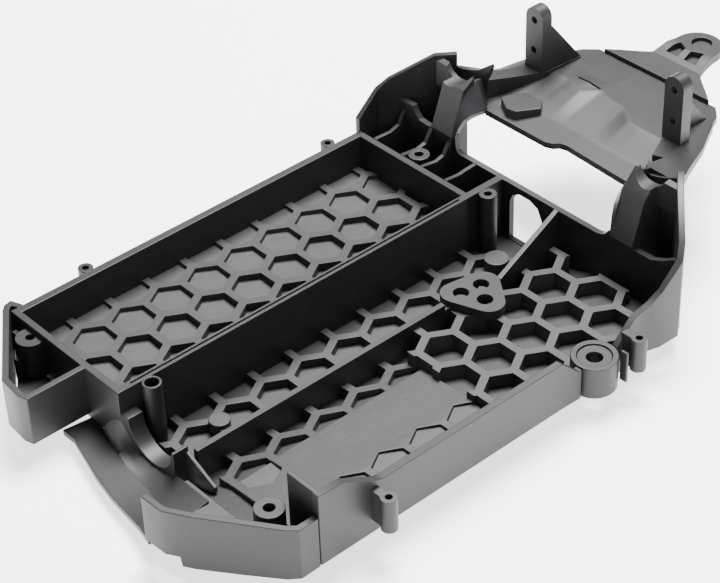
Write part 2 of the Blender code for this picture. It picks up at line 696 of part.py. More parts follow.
def build_post(side, label):
    x = side * POST_X
    foot = 33.7 + GAP
    profile = [(x - POST_HALF_WIDTH, foot), (x + POST_HALF_WIDTH, foot)]
    profile += arc(x, POST_TOP - POST_HALF_WIDTH, POST_HALF_WIDTH, 0, 180, 12)
    post = prism_y(profile, POST_REAR, POST_FRONT)
    web = [(POST_FRONT - 1, foot), (POST_FRONT - 1, 51.0), (POST_FRONT, 51.0), (215.6, foot - 0.9)]
    inner, outer = x - side * POST_HALF_WIDTH, x - side * (POST_HALF_WIDTH - 2.6)
    unite(post, prism_x(web, min(inner, outer), max(inner, outer)))
    for height in (53.2, 41.5):
        subtract(post, prism_y(circle(x, height, 1.3, 12), 190, 230))
    finish(post, label + "_post", "front")


def build_front_pocket():
    """Ribbed pocket between the battery bay and the left tower."""
    rear = BAY_FRONT + WALL + GAP
    front = CROSS_REAR - GAP
    low = -4.2 + GAP
    floor = box(-66.9 - GAP, DIVIDER_LEFT - GAP, rear, front, -6.2, -4.2)
    subtract(floor, front_wall_clearance(-1))
    finish(keep_largest(floor), "front_pocket_floor", "floor")
    crests = [
        (-62.0, [(148.6, 12.5), (155.8, 12.2), (159.6, 13.4), (161.0, 16.0), (front, 19.0)]),
        (-48.0, [(148.6, 12.5), (155.8, 11.6), (159.4, 12.4), (161.0, 15.0), (front, 18.0)]),
        (-38.2, [(148.6, 12.5), (155.3, 11.4), (158.6, 12.3), (160.6, 15.5), (front, 18.1)]),
        (-26.4, [(148.6, 12.5), (154.7, 11.9), (159.0, 12.3), (front, 12.5)]),
    ]
    for number, (x, crest) in enumerate(crests, 1):
        ridge = [(max(y, rear), z) for y, z in crest]
        outline = [(rear, low), (front, low)] + list(reversed(ridge))
        rib = prism_x(outline, x - 0.8, x + 0.8)
        subtract(rib, cylinder(*POCKET_BOSS, POCKET_BOSS_RADIUS + GAP, -20, 40))
        finish(keep_largest(rib), "pocket_rib_%d" % number, "wall")
    boss = cylinder(*POCKET_BOSS, POCKET_BOSS_RADIUS, low, 11.8)
    subtract(boss, box(-60, -30, 140, rear, -20, 30), cylinder(*POCKET_BOSS, SCREW_RADIUS, 0, 20))
    finish(boss, "front_left_boss", "wall")


def build_cross_wall():
    """Wall ahead of all three bays, whose top edge curls up to the towers at both ends."""
    right = [(30.4, RIM), (32.6, 13.2), (34.2, 14.4), (35.4, 16.1), (46.6, 16.1)]
    right += [(46.6, 14.2), (54.0, 14.2), (59.0, 16.4), (62.6, 18.8), (66.6, 19.6)]
    left = [(33.6, RIM), (35.2, 13.3), (35.8, 15.2), (36.0, 17.4), (36.1, 19.2), (46.6, 19.2)]
    left += [(46.6, 17.8), (50.0, 17.2), (54.0, 17.6), (56.0, 19.6), (57.0, 22.0), (66.6, 22.0)]
    outline = [(-66.6, -6.2), (DIVIDER_RIGHT, -6.2), (DIVIDER_RIGHT, KEEL_BOTTOM), (15.0, KEEL_BOTTOM),
               (15.0, -11.6), (28.0, -7.4), (66.6, -6.6)]
    outline += list(reversed(right)) + [(-x, z) for x, z in left]
    cross = prism_y(outline, CROSS_REAR, CROSS_FRONT)
    subtract(cross, front_wall_clearance(1), front_wall_clearance(-1))
    keep_largest(cross)
    opening = [(-9.3, -10.2), (6.0, -10.2), (6.2, 3.4), (3.6, 8.6), (0.0, 10.2), (-4.8, 10.2),
               (-8.0, 8.4), (-9.3, 5.4)]
    subtract(cross, prism_y(opening, CROSS_REAR - 5, CROSS_FRONT + 5))
    finish(cross, "cross_wall", "wall")


def build_deck():
    """Deck recessed between the arms, its pointed block, the nose plate and the nose tab."""
    edge = [(x - GAP, y) for x, y in arm_inner_edge()]
    edge[-1] = (edge[-1][0], 215.0 + GAP)
    ahead = [(33.2, 215.0 + GAP), (30.8, 220.0), (26.6, STEP_FRONT)]
    rear_edge = [(-4.0, 173.3), (-1.2, 174.2), (0.6, 176.0), (3.4, 176.6), (27.6, 175.4)]
    half = edge + ahead
    left_half = [(-edge[0][0], 173.3)] + [(-x, y) for x, y in half[1:]]
    right_half = [(edge[0][0] + 1.2, 175.2)] + half[1:]
    plan = rear_edge + right_half + list(reversed(left_half))
    deck = prism_z(plan, 0.0, 60.0)
    top = [(170.0, 26.7), (184.0, 28.0), (188.0, 29.0), (199.5, 32.0), (203.0, 32.6), (230.0, 31.8)]
    section = top + [(y, z - THIN) for y, z in reversed(top)]
    intersect(deck, prism_x(section, -50.0, 50.0))
    finish(deck, "front_deck", "front")
    block = [(-29.8, 178.4), (-24.0, 175.0), (-20.2, 175.6), (-15.4, 183.2), (-18.4, 187.0), (-26.0, 187.0),
             (-29.6, 180.6)]
    stone = intersect(prism_z(block, 20.0, 30.6), prism_x([(170.0, 26.7 + GAP), (184.0, 28.0 + GAP),
                      (188.0, 29.0 + GAP), (188.0, 40.0), (170.0, 40.0)], -40.0, 0.0))
    finish(stone, "deck_block", "front")

    join = 234.4
    flank = [(24.0, STEP_FRONT + GAP), (18.6, 228.0), (14.6, 231.0), (12.0, 233.2), (11.0, join)]
    plate = prism_z(flank + [(-x, y) for x, y in reversed(flank)], 31.2, 33.5)
    finish(plate, "nose_plate", "front")
    side = [(10.9, join + GAP), (9.8, 238.0), (8.7, 244.0)]
    tip = side + arc(0.0, NOSE_TIP - 8.6, 8.6, 4, 176, 14) + [(-x, y) for x, y in reversed(side)]
    tab = prism_z(tip, 20.0, 50.0)
    profile = [(join - 1, 33.3), (239.6, 36.0), (256.0, 36.0), (256.0, 32.8), (240.0, 32.4), (join - 1, 31.2)]
    intersect(tab, prism_x(profile, -20.0, 20.0))
    subtract(tab, cylinder(0.0, 247.4, 3.5, 34.4, 40.0))
    for sign in (-1, 1):
        pocket = [(sign * 1.5, 236.4), (sign * 6.6, 236.4), (sign * 5.4, 242.4), (sign * 1.5, 240.6)]
        subtract(tab, prism_z(pocket, 33.6, 40.0))
    finish(tab, "nose_tab", "front")


def build():
    clear_scene()
    empty = bpy.data.objects.new("chassis", None)
    bpy.context.scene.collection.objects.link(empty)
    empty.location = (0.0, -(NOSE_TIP - REAR_OVERHANG) / 2 * MM, -KEEL_BOTTOM * MM)
    CHASSIS["empty"] = empty
    build_battery_bay()
    build_keel()
    build_right_bay()
    build_centre_divider()
    build_right_side()
    build_lugs()
    build_rear_boxes()
    build_rear_cradle()
    build_cross_wall()
    build_front_pocket()
    build_front_side(1, "right")
    build_front_side(-1, "left")
    build_deck()


build()
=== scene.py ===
"""Looks of the bare moulded chassis tub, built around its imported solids.

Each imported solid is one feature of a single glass-filled nylon moulding. Every feature is
made again here with rounded edges and fine surface detail, and runs a little way into
its neighbours, so that the features read as one moulding.
"""
import math

import bmesh
import bpy
from mathutils import Matrix, Vector


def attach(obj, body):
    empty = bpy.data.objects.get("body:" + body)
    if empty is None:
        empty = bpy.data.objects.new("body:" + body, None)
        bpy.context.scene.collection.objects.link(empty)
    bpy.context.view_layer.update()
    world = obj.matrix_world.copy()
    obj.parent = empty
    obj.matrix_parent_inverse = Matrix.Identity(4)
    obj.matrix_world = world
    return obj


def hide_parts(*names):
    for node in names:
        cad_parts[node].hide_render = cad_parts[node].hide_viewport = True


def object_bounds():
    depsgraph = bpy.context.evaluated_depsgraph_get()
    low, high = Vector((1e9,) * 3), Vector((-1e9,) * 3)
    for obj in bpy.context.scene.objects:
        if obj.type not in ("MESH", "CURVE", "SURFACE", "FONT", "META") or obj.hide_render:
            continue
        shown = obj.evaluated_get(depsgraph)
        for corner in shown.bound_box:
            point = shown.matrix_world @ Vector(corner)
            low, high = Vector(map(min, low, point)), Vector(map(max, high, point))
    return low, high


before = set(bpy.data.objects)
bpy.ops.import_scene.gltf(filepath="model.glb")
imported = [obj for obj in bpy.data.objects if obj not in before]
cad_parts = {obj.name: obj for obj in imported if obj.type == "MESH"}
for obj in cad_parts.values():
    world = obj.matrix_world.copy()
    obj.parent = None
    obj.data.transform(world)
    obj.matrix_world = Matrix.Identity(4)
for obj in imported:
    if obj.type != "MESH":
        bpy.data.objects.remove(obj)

CAD_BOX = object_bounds()

# ---------------------------------------------------------------- driving dimensions
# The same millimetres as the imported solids, so that each piece lies where its solid lies.
MM = 0.001
GAP = -0.6                      # parting gap; below zero, so neighbours run into each other
WALL = 2.6                      # outer walls
LEFT_WALL = 3.0
THIN = 2.2                      # floors, plates and secondary walls
RIM = 12.7                      # top of the bay walls
KEEL_BOTTOM = -12.8             # underside of the keel, the lowest face of the tub
OUTER = 69.4                    # half width over the side walls
REAR_OVERHANG = 22.4            # rear boxes, behind the battery bay
NOSE_TIP = 254.1                # front of the nose tab

BAY_FRONT = 145.7               # inner face of the battery bay's front wall
REAR_WALL = 2.5                 # thickness of the bay's rear wall
DIVIDER_LEFT = -15.7
DIVIDER_RIGHT = -13.0
KEEL_FLOOR = -10.6              # top of the keel floor
KEEL_RIB_TOP = -7.4
KEEL_RIGHT = 15.0               # where the keel meets the right bay
CENTRE_WALL = 14.9              # right face of the low centre divider
CROSS_REAR = 162.5              # rear face of the cross wall
CROSS_FRONT = 164.7

HEX_PITCH = 15.5                # honeycomb pitch along Y
HEX_RIB = 2.8                   # honeycomb rib width
HEX_X = -52.06                  # centre of the first honeycomb column
HEX_Y = 34.36
HEX_COLUMN = HEX_PITCH * math.sqrt(3) / 2
HEX_SIDE = (HEX_PITCH - HEX_RIB) / math.sqrt(3)

TALL_BOSS_RADIUS = 3.2
REAR_BOSS = (-10.6, 11.0)       # tall bosses beside the main divider, as (x, y)
FRONT_BOSS = (-10.6, 153.3)
REAR_PAD = (-0.5, 27.5)         # round pads on the keel floor
REAR_PAD_RADIUS = 3.5
FRONT_PAD = (-0.5, 147.5)
FRONT_PAD_RADIUS = 4.3
PLATE_HOLES = [(14.0, 116.9), (15.3, 124.7), (21.9, 120.0)]
TRAY_REAR = 9.6                 # plain tray in the right bay
TRAY_FRONT = 87.0
BOX_BOSS_RADIUS = 4.7
SCREW_RADIUS = 1.5              # pilot hole for a 3 mm screw
LUG_RADIUS = 2.6
PAD_CENTRE = (67.0, 123.0)
PAD_RADIUS = 7.6
PAD_HOLE_RADIUS = 2.6

POST_X = 31.5                   # posts, either side of the centre line
POST_REAR = 195.8
POST_FRONT = 200.3
POST_TOP = 58.0
POST_HALF_WIDTH = 4.0

FRONT_WALL = 2.2                # thickness of the front walls
SADDLE_INNER = 38.0             # inner end of a saddle
SADDLE_REAR = 171.8
SADDLE_FRONT = 178.9
SADDLE_BOTTOM = 27.6
SADDLE_NOTCH = (44.0, 40.4)     # centre of the round notch, as (x, z)
SADDLE_NOTCH_RADIUS = 6.5
POCKET_BOSS = (-45.0, 153.8)
POCKET_BOSS_RADIUS = 3.9
TOWER_SILL = {1: 16.1, -1: 19.2}        # top of the cross wall under the right and left towers
TOWER_BEVEL = {1: (166.4, 31.4), -1: (167.3, 34.8)}     # (y, z) where each tower's face turns
TOWER_INNER = 36.9
TOWER_OUTER = 46.7
STEP_FRONT = 224.2              # front edge of the deck, where the nose plate begins

ROUND_SEGMENTS = 24


def to_object(bm):
    """Turn a closed bmesh into a scene object with its faces pointing out."""
    bmesh.ops.recalc_face_normals(bm, faces=bm.faces)
    mesh = bpy.data.meshes.new("solid")
    bm.to_mesh(mesh)
    bm.free()
    solid = bpy.data.objects.new("solid", mesh)
    bpy.context.scene.collection.objects.link(solid)
    return solid


def between(lower, upper):
    """Closed solid between two rings of matching points."""
    bm = bmesh.new()
    low = [bm.verts.new(p) for p in lower]
    high = [bm.verts.new(p) for p in upper]
    count = len(low)
    bm.faces.new(list(reversed(low)))
    bm.faces.new(high)
    for i in range(count):
        j = (i + 1) % count
        bm.faces.new((low[i], low[j], high[j], high[i]))
    return to_object(bm)


def prism_z(outline, z_low, z_high):
    """Plan outline of (x, y) points, raised from z_low to z_high."""
    return between([(x, y, z_low) for x, y in outline], [(x, y, z_high) for x, y in outline])


def prism_x(outline, x_low, x_high):
    """Side outline of (y, z) points, run from x_low to x_high."""
    return between([(x_low, y, z) for y, z in outline], [(x_high, y, z) for y, z in outline])


def prism_y(outline, y_low, y_high):
    """Cross-section of (x, z) points, run from y_low to y_high."""
    return between([(x, y_low, z) for x, z in outline], [(x, y_high, z) for x, z in outline])


def box(x_low, x_high, y_low, y_high, z_low, z_high):
    outline = [(x_low, y_low), (x_high, y_low), (x_high, y_high), (x_low, y_high)]
    return prism_z(outline, z_low, z_high)


def arc(cx, cy, radius, start, end, steps):
    """Points on an arc, angles in degrees."""
    angles = [math.radians(start + (end - start) * i / steps) for i in range(steps + 1)]
    return [(cx + radius * math.cos(a), cy + radius * math.sin(a)) for a in angles]


def circle(cx, cy, radius, segments=ROUND_SEGMENTS):
    return arc(cx, cy, radius, 0, 360, segments)[:-1]


def cylinder(cx, cy, radius, z_low, z_high):
    return prism_z(circle(cx, cy, radius), z_low, z_high)


def hull_of_circles(circles, steps=8):
    """Convex plan outline around circles of (x, y, radius), listed anticlockwise."""
    points = []
    count = len(circles)
    for i, (x, y, r) in enumerate(circles):
        x0, y0, _ = circles[i - 1]
        x1, y1, _ = circles[(i + 1) % count]
        start = math.degrees(math.atan2(y - y0, x - x0)) - 90
        end = math.degrees(math.atan2(y1 - y, x1 - x)) - 90
        if end < start:
            end += 360
        points += arc(x, y, r, start, end, steps)
    return points


def wall(path, thickness):
    """Wall along a plan path of (x, y, top, bottom), with its body on the path's left."""
    count = len(path)
    normals = []
    for (x0, y0, _, _), (x1, y1, _, _) in zip(path, path[1:]):
        length = math.hypot(x1 - x0, y1 - y0)
        normals.append(((y0 - y1) / length, (x1 - x0) / length))
    sections = []
    for i, (x, y, top, bottom) in enumerate(path):
        ax, ay = normals[max(i - 1, 0)]
        bx, by = normals[min(i, count - 2)]
        scale = thickness / (1 + ax * bx + ay * by)
        ix, iy = x + (ax + bx) * scale, y + (ay + by) * scale
        sections.append(((x, y, bottom), (ix, iy, bottom), (ix, iy, top), (x, y, top)))
    return loft(sections)


def loft(sections):
    """Closed solid through matching closed sections, capped at both ends."""
    bm = bmesh.new()
    rings = [[bm.verts.new(p) for p in section] for section in sections]
    for low, high in zip(rings, rings[1:]):
        count = len(low)
        for i in range(count):
            j = (i + 1) % count
            bm.faces.new((low[i], low[j], high[j], high[i]))
    bm.faces.new(list(reversed(rings[0])))
    bm.faces.new(rings[-1])
    return to_object(bm)


def sheet(stations, thickness):
    """Bent sheet through stations of two edge points each, thickened downwards."""
    sections = []
    for (ax, ay, az), (bx, by, bz) in stations:
        sections.append(
            ((ax, ay, az), (bx, by, bz), (bx, by, bz - thickness), (ax, ay, az - thickness))
        )
    return loft(sections)


def combine(target, tools, operation):
    """Apply exact booleans to the target, one tool at a time."""
    for tool in tools:
        modifier = target.modifiers.new("cut", "BOOLEAN")
        modifier.operation = operation
        modifier.solver = "EXACT"
        modifier.object = tool
        graph = bpy.context.evaluated_depsgraph_get()
        result = bpy.data.meshes.new_from_object(target.evaluated_get(graph))
        target.modifiers.clear()
        target.data = result
        bpy.data.objects.remove(tool, do_unlink=True)
    return target


def subtract(target, *tools):
    return combine(target, tools, "DIFFERENCE")


def unite(target, *tools):
    return combine(target, tools, "UNION")


def intersect(target, *tools):
    return combine(target, tools, "INTERSECT")


def keep_largest(solid):
    """Drop the loose slivers that a cut leaves along a border."""
    bm = bmesh.new()
    bm.from_mesh(solid.data)
    unseen = set(bm.verts)
    groups = []
    while unseen:
        stack = [unseen.pop()]
        group = set(stack)
        while stack:
            vert = stack.pop()
            for edge in vert.link_edges:
                other = edge.other_vert(vert)
                if other in unseen:
                    unseen.discard(other)
                    group.add(other)
                    stack.append(other)
        groups.append(group)
    groups.sort(key=len, reverse=True)
    for group in groups[1:]:
        bmesh.ops.delete(bm, geom=list(group), context="VERTS")
    bm.to_mesh(solid.data)
    bm.free()
    return solid


# ---------------------------------------------------------------- honeycomb
def cell_centre(column, index):
    shift = HEX_PITCH / 2 if column % 2 else 0.0
    return HEX_X + HEX_COLUMN * column, HEX_Y + HEX_PITCH * index - shift


def cell(column, index, z_low, z_high):
    """Prism that cuts one honeycomb pocket, with two flats facing along Y."""
    cx, cy = cell_centre(column, index)
    return prism_z(arc(cx, cy, HEX_SIDE, 0, 300, 5), z_low, z_high)


def cells(columns, y_low, y_high, z_low, z_high):
    """All pockets of some columns whose centres lie between two lengths, as one cutter."""
    bm = bmesh.new()
    for column in columns:
        for index in range(-4, 11):
            cx, cy = cell_centre(column, index)
            if not y_low <= cy <= y_high:
                continue
            ring = arc(cx, cy, HEX_SIDE, 0, 300, 5)
            low = [bm.verts.new((x, y, z_low)) for x, y in ring]
            high = [bm.verts.new((x, y, z_high)) for x, y in ring]
            bm.faces.new(list(reversed(low)))
            bm.faces.new(high)
            for i in range(6):
                j = (i + 1) % 6
                bm.faces.new((low[i], low[j], high[j], high[i]))
    return to_object(bm)


# ---------------------------------------------------------------- nylon
# Base colour and roughness for each kind of piece. All pieces are one nylon; the three base tones are painted
# lighting: floors lighter as painted light from above, walls darker as painted shade, front-end pieces a tone
# between.
NYLON_PAINTED_LIGHTING = {
    "floor": ((0.029, 0.0285, 0.0275), 0.45),
    "wall": ((0.0160, 0.0152, 0.0156), 0.46),
    "front": ((0.019, 0.0185, 0.0195), 0.47),
}
MATERIALS = {}


def add_noise(tree, coordinates, scale, detail, stretch=(1.0, 1.0, 1.0)):
    mapping = tree.nodes.new("ShaderNodeMapping")
    mapping.inputs["Scale"].default_value = stretch
    tree.links.new(coordinates.outputs["Object"], mapping.inputs["Vector"])
    noise = tree.nodes.new("ShaderNodeTexNoise")
    noise.inputs["Scale"].default_value = scale
    noise.inputs["Detail"].default_value = detail
    tree.links.new(mapping.outputs["Vector"], noise.inputs["Vector"])
    return noise


def nylon(painted_tone):
    """Glass-filled nylon: dark grey, faint flow marks, a fine spark-eroded grain, on a base tone for the
    piece's kind that is painted light and shade.
    """
    if painted_tone in MATERIALS:
        return MATERIALS[painted_tone]
    # The kind picks a painted base tone: lighter for lit floors, darker for walls in painted shade.
    colour, roughness = NYLON_PAINTED_LIGHTING[painted_tone]
    material = bpy.data.materials.new("glass_filled_nylon_painted_lighting_" + painted_tone)
    material.use_nodes = True
    tree = material.node_tree
    shader = tree.nodes["Principled BSDF"]
    shader.inputs["Metallic"].default_value = 0.0
    shader.inputs["Specular IOR Level"].default_value = 0.4
    coordinates = tree.nodes.new("ShaderNodeTexCoord")

    blotches = add_noise(tree, coordinates, 38.0, 3.0, (1.0, 0.45, 1.0))
    tones = tree.nodes.new("ShaderNodeValToRGB")
    tones.color_ramp.elements[0].position = 0.32
    tones.color_ramp.elements[0].color = tuple(c * 0.86 for c in colour) + (1.0,)
    tones.color_ramp.elements[1].position = 0.70
    tones.color_ramp.elements[1].color = tuple(c * 1.16 for c in colour) + (1.0,)
    tree.links.new(blotches.outputs["Fac"], tones.inputs["Fac"])
    fibres = add_noise(tree, coordinates, 900.0, 2.0, (1.0, 0.25, 1.0))
    flecks = tree.nodes.new("ShaderNodeMapRange")
    flecks.inputs["From Min"].default_value = 0.35
    flecks.inputs["From Max"].default_value = 0.75
    flecks.inputs["To Min"].default_value = 0.90
    flecks.inputs["To Max"].default_value = 1.18
    tree.links.new(fibres.outputs["Fac"], flecks.inputs["Value"])
    mix = tree.nodes.new("ShaderNodeVectorMath")
    mix.operation = "MULTIPLY"
    tree.links.new(tones.outputs["Color"], mix.inputs[0])
    tree.links.new(flecks.outputs["Result"], mix.inputs[1])
    tree.links.new(mix.outputs["Vector"], shader.inputs["Base Color"])

    sheen = tree.nodes.new("ShaderNodeMapRange")
    sheen.inputs["To Min"].default_value = roughness - 0.08
    sheen.inputs["To Max"].default_value = roughness + 0.10
    tree.links.new(blotches.outputs["Fac"], sheen.inputs["Value"])
    tree.links.new(sheen.outputs["Result"], shader.inputs["Roughness"])

    grain = add_noise(tree, coordinates, 2600.0, 2.0)
    bump = tree.nodes.new("ShaderNodeBump")
    bump.inputs["Strength"].default_value = 0.35
    bump.inputs["Distance"].default_value = 0.00006
    tree.links.new(grain.outputs["Fac"], bump.inputs["Height"])
    tree.links.new(bump.outputs["Normal"], shader.inputs["Normal"])
    MATERIALS[painted_tone] = material
    return material


# ---------------------------------------------------------------- finish
CAD_LOW = CAD_BOX[0]
SHIFT = Vector((0.0, CAD_LOW[1] + REAR_OVERHANG * MM, CAD_LOW[2] - KEEL_BOTTOM * MM))
EDGE = 0.32                     # radius of a moulded edge
FINE_EDGE = 0.16                # radius on the finely gridded deck
HAIR = 0.00007                  # step that keeps neighbouring faces off one plane
HAIR_STEPS = 7
BEVEL_ANGLE = 32                # degrees; edges sharper than this are rounded
finished = []


def finish(solid, name, painted_tone, edge=EDGE):
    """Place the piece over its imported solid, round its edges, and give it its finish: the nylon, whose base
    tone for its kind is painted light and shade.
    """
    step = 1.0 - HAIR * (len(finished) % HAIR_STEPS)
    solid.name = name + "_moulding"
    solid.data.name = solid.name
    solid.data.transform(Matrix.Translation(SHIFT) @ Matrix.Diagonal((MM * step, MM, MM * step, 1.0)))
    solid.data.materials.clear()
    solid.data.materials.append(nylon(painted_tone))
    solid.data.shade_smooth()
    rounding = solid.modifiers.new("rounded_edges", "BEVEL")
    rounding.width = edge * MM
    rounding.segments = 2
    rounding.limit_method = "ANGLE"
    rounding.angle_limit = math.radians(BEVEL_ANGLE)
    rounding.harden_normals = True
    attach(solid, "root")
    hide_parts(name)
    finished.append(solid)


# ---------------------------------------------------------------- floors
def floor_line(x, points):
    """Height of a broken line of (x, z) points at x."""
    for (x0, z0), (x1, z1) in zip(points, points[1:]):
        if x <= x1:
            return z0 + (z1 - z0) * (x - x0) / (x1 - x0)
    return points[-1][1]


BATTERY_TOP = [(-OUTER + LEFT_WALL + GAP, -0.5), (DIVIDER_LEFT - GAP, -3.2)]
RIGHT_TOP = [(KEEL_RIGHT + GAP, -9.4), (28.0, -5.2), (OUTER - WALL - GAP, -4.4)]
RIB_TOP = 0.7                   # battery ribs
RIGHT_RIB_TOP = 0.3
TRAY_LEFT = 27.5
TRAY_TOP = [(TRAY_LEFT + GAP, -3.7), (50.0, -2.0), (OUTER - WALL - GAP, -1.7)]


def slab(top, thickness, y_low, y_high):
    """Floor that follows a broken line across the car."""
    lower = [(x, z - thickness) for x, z in top]
    return prism_y(lower + list(reversed(top)), y_low, y_high)


def build_battery_bay():
    floor = slab(BATTERY_TOP, THIN, REAR_WALL + GAP, BAY_FRONT - GAP)
    finish(floor, "battery_bay_floor", "floor")
    grid_left = -OUTER + LEFT_WALL + GAP
    grid_right = DIVIDER_LEFT - GAP
    base = [(x, floor_line(x, BATTERY_TOP) + GAP) for x in (grid_left, grid_right)]
    grid = prism_y(base + [(grid_right, RIB_TOP), (grid_left, RIB_TOP)], REAR_WALL + GAP, BAY_FRONT - GAP)
    subtract(grid, cells(range(-1, 4), -10, 160, -8, 8))
    finish(keep_largest(grid), "battery_bay_hex_grid", "floor")
    outline = [(-OUTER, -5.6), (-31.6, -5.6), (-31.6, -7.4), (DIVIDER_RIGHT, -7.4), (DIVIDER_RIGHT, RIM),
               (-OUTER, RIM)]
    finish(prism_y(outline, 0, REAR_WALL), "battery_bay_rear_wall", "wall")
    front = box(-OUTER, DIVIDER_LEFT - GAP, BAY_FRONT, BAY_FRONT + WALL, -5.6, RIM)
    finish(front, "battery_bay_front_wall", "wall")
    side = box(-OUTER, -OUTER + LEFT_WALL, REAR_WALL + GAP, BAY_FRONT - GAP, -4.0, RIM)
    finish(side, "left_side_wall", "wall")
    divider = box(DIVIDER_LEFT, DIVIDER_RIGHT, REAR_WALL + GAP, CROSS_REAR - GAP, KEEL_BOTTOM, RIM)
    subtract(divider, box(-14.9, -14.2, 6, BAY_FRONT - 2, RIM - 0.9, RIM + 1))
    finish(divider, "main_divider", "wall")


def build_keel():
    keel = box(DIVIDER_RIGHT + GAP, KEEL_RIGHT, 0.3, CROSS_REAR - GAP, KEEL_BOTTOM, KEEL_FLOOR)
    finish(keel, "keel_floor", "floor")
    grid = box(DIVIDER_RIGHT + GAP, CENTRE_WALL - 2 - GAP, 8, 152, KEEL_FLOOR + GAP, KEEL_RIB_TOP)
    subtract(
        grid,
        cells(range(3, 6), 0, 170, -14, 0),
        cylinder(*REAR_BOSS, TALL_BOSS_RADIUS + GAP, -14, 0),
        cylinder(*REAR_PAD, REAR_PAD_RADIUS + GAP, -14, 0),
        cylinder(*FRONT_PAD, FRONT_PAD_RADIUS + GAP, -14, 0),
    )
    finish(keep_largest(grid), "keel_hex_grid", "floor")
    finish(cylinder(*REAR_PAD, REAR_PAD_RADIUS, KEEL_FLOOR + GAP, -5.8), "keel_rear_pad", "floor")
    finish(cylinder(*FRONT_PAD, FRONT_PAD_RADIUS, KEEL_FLOOR + GAP, -6.0), "keel_front_pad", "floor")
    for name, place, hole in (("rear_tall_boss", REAR_BOSS, 2.2), ("front_tall_boss", FRONT_BOSS, 1.25)):
        boss = cylinder(*place, TALL_BOSS_RADIUS, KEEL_FLOOR + GAP, RIM - 0.2)
        x, y = place
        trim = box(x - 9, DIVIDER_RIGHT + GAP, y - 9, y + 9, -20, 20)
        subtract(boss, trim, cylinder(x, y, hole, 2.0, 20))
        finish(boss, name, "wall")


def build_right_bay():
    left = KEEL_RIGHT + GAP
    right = OUTER - WALL - GAP
    lift = [(x, z + GAP) for x, z in RIGHT_TOP]
    floor = slab(RIGHT_TOP, THIN, 2.7 + GAP, CROSS_REAR - GAP)
    subtract(floor, cylinder(*PAD_CENTRE, PAD_RADIUS + GAP, -20, 20))
    finish(floor, "right_bay_floor", "floor")

    front = prism_y(lift + [(right, RIGHT_RIB_TOP), (left, RIGHT_RIB_TOP)], TRAY_FRONT + GAP, 159.6)
    link = wall([(15.0, 106, 20, -20), (18.7, 129.6, 20, -20), (13.3, 165, 20, -20)], 7.7 + GAP)
    subtract(
        front,
        cells(range(5, 10), 75, 170, -14, 8),
        cylinder(*PAD_CENTRE, PAD_RADIUS + GAP, -20, 20),
        link,
    )
    finish(keep_largest(front), "right_front_hex_grid", "floor")

    rear_top = [(TRAY_LEFT - 0.1, -3.8), (left, -4.9)]
    base = [(x, floor_line(x, lift)) for x in (left, TRAY_LEFT - 0.1)]
    rear = prism_y(base + rear_top, TRAY_REAR, TRAY_FRONT)
    subtract(rear, cells(range(5, 8), -10, 100, -14, 8))
    finish(keep_largest(rear), "right_rear_hex_grid", "floor")

    under = [(TRAY_LEFT + GAP, floor_line(TRAY_LEFT + GAP, lift)), (28.2, lift[1][1]), (right, lift[2][1])]
    tray = prism_y(under + list(reversed(TRAY_TOP)), TRAY_REAR, TRAY_FRONT)
    subtract(tray, cells(range(8, 10), 25, 85, -3.1, 8), cell(6, -1, -4.5, 8))
    finish(keep_largest(tray), "right_bay_tray", "floor")


def build_centre_divider():
    low = wall([(CENTRE_WALL, 7.5, 3, -9), (CENTRE_WALL, 109, 3, -9)], 2.0)
    link = wall([(CENTRE_WALL, 108, 1.1, -8.2), (18.4, 129.2, 1.1, -8.2)], 2.0)
    finish(unite(low, link), "centre_divider", "wall")
    ramp = wall([(18.0, 131.6 + GAP, 3.4, -8.2), (13.2, CROSS_REAR - GAP, RIM, -9)], 2.0)
    finish(ramp, "diagonal_divider", "wall")
    corners = [(12.8, 115.9, 5.3), (23.6, 120.0, 5.4), (14.9, 126.0, 5.6)]
    plate = prism_z(hull_of_circles(corners), 1.1 + GAP, 3.4)
    subtract(plate, *[cylinder(x, y, 2.7, -5, 9) for x, y in PLATE_HOLES])
    finish(plate, "three_hole_plate", "front")


def build_right_side():
    path = [
        (OUTER, 8.4, 20.6, -6.0),
        (OUTER, 17.8, 20.0, -6.0),
        (OUTER, 30.5, 12.9, -6.0),
        (OUTER, 33.0, 12.4, -6.0),
        (OUTER, 106.0, 12.3, -6.0),
        (OUTER, 113.6, 5.0, -6.3),
        (OUTER, 114.9, 5.0, -6.3),
    ]
    finish(wall(path, WALL), "right_side_wall", "wall")
    finish(box(55.6, OUTER - WALL - GAP, 8.6, 10.3, -1.3, 20.6), "partition_wall", "wall")
    pad = cylinder(*PAD_CENTRE, PAD_RADIUS, -6.5, 5.0)
    fin = box(72.2, 75.0, 129.0, 130.0, -5.0, 6.4)
    unite(pad, fin)
    dish = cylinder(*PAD_CENTRE, PAD_RADIUS - 2.0, 4.2, 9)
    subtract(pad, dish, cylinder(*PAD_CENTRE, PAD_HOLE_RADIUS, -20, 20))
    finish(pad, "through_hole_pad", "wall")


def build_lugs():
    """Small screw lugs on the outside of both side walls."""
    places = {
        "right_rear_lug": (75.1, 29.4, 11.0, 1),
        "right_front_lug": (74.9, 134.4, 10.0, 1),
        "left_rear_lug": (-75.1, 33.0, 9.5, -1),
        "left_front_lug": (-75.1, 138.0, 9.5, -1),
    }
    for name, (x, y, top, side) in places.items():
        lug = cylinder(x, y, LUG_RADIUS, top - 12, top)
        root = side * (OUTER + GAP)
        web = box(min(root, x), max(root, x), y - 1.4, y + 1.4, top - 12, top - 0.5)
        unite(lug, web)
        subtract(lug, cylinder(x, y, 1.15, top - 8, top + 2))
        finish(lug, name, "wall")


